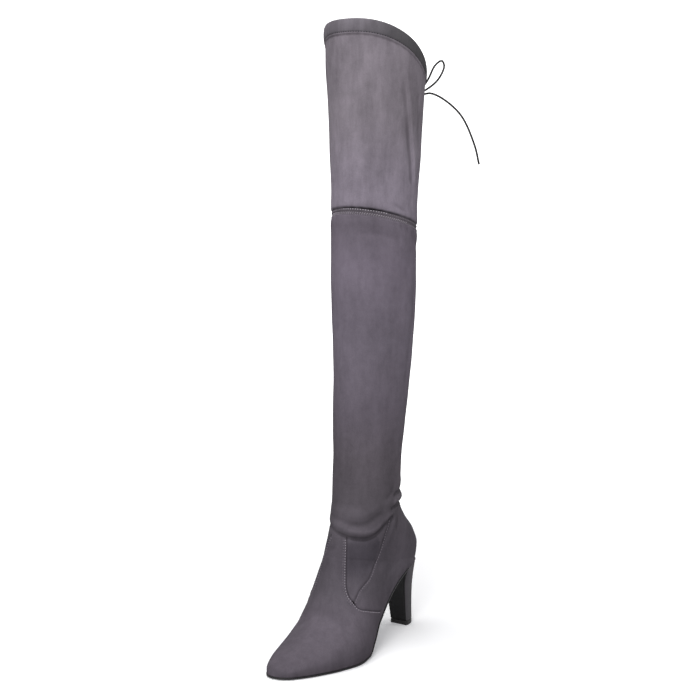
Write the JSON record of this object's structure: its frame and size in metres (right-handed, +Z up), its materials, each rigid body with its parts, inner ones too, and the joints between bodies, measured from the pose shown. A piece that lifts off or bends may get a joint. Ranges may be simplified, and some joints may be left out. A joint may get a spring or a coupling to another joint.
{
  "type": "over-the-knee boot",
  "caption": "Left over-the-knee boot in grey stretch suede with a slim block heel, a cuffed collar that is high in front, and a thin cord tied behind",
  "frame": {"origin": "centre of the heel's tread, on the floor", "axes": "+Z is up, the toe points to -Y, and +X is the outer side of the left foot"},
  "size_m": [0.133, 0.25, 0.637],
  "materials": {
    "suede": "napped faux suede",
    "sole": "matte black",
    "lining": "brushed knit",
    "cord": "waxed cord"
  },
  "bodies": {
    "root": {"upper": "suede", "heel": "suede", "outsole": "sole", "heel_tread": "sole", "insole": "lining", "tie_knot": "cord", "tie_loop_outer": "cord", "tie_end_outer": "cord", "tie_lead_outer": "cord", "tie_loop_inner": "cord", "tie_end_inner": "cord", "tie_lead_inner": "cord"}
  },
  "joints": []
}
